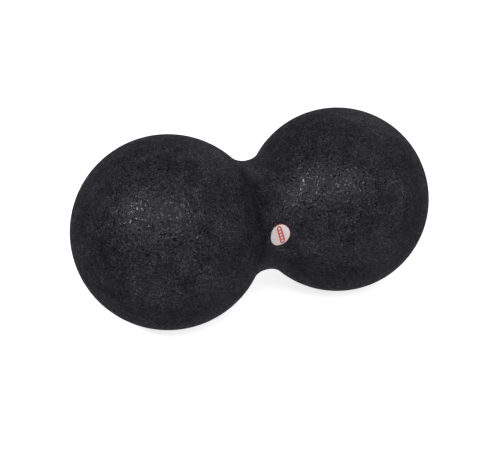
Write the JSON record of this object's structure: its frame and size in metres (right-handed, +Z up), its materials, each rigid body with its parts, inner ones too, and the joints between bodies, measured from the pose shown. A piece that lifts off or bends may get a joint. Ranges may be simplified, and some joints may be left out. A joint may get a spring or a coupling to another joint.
{
  "type": "double massage ball",
  "caption": "Peanut-shaped foam self-massage roller: two equal balls moulded together with a smooth waist that spares the spine.",
  "frame": {"origin": "on the surface that both balls rest on, under the middle of the waist", "axes": "+X along the long axis through both ball centres, +Z up, and the label faces -Y"},
  "size_m": [0.24, 0.12, 0.12],
  "materials": {
    "bead_foam": "moulded black bead foam (expanded polypropylene), satin bead faces with a fine mottled grey crackle",
    "label_film": "white self-adhesive film, satin"
  },
  "bodies": {
    "root": {"foam_body": "bead_foam", "label": "label_film"}
  },
  "joints": []
}
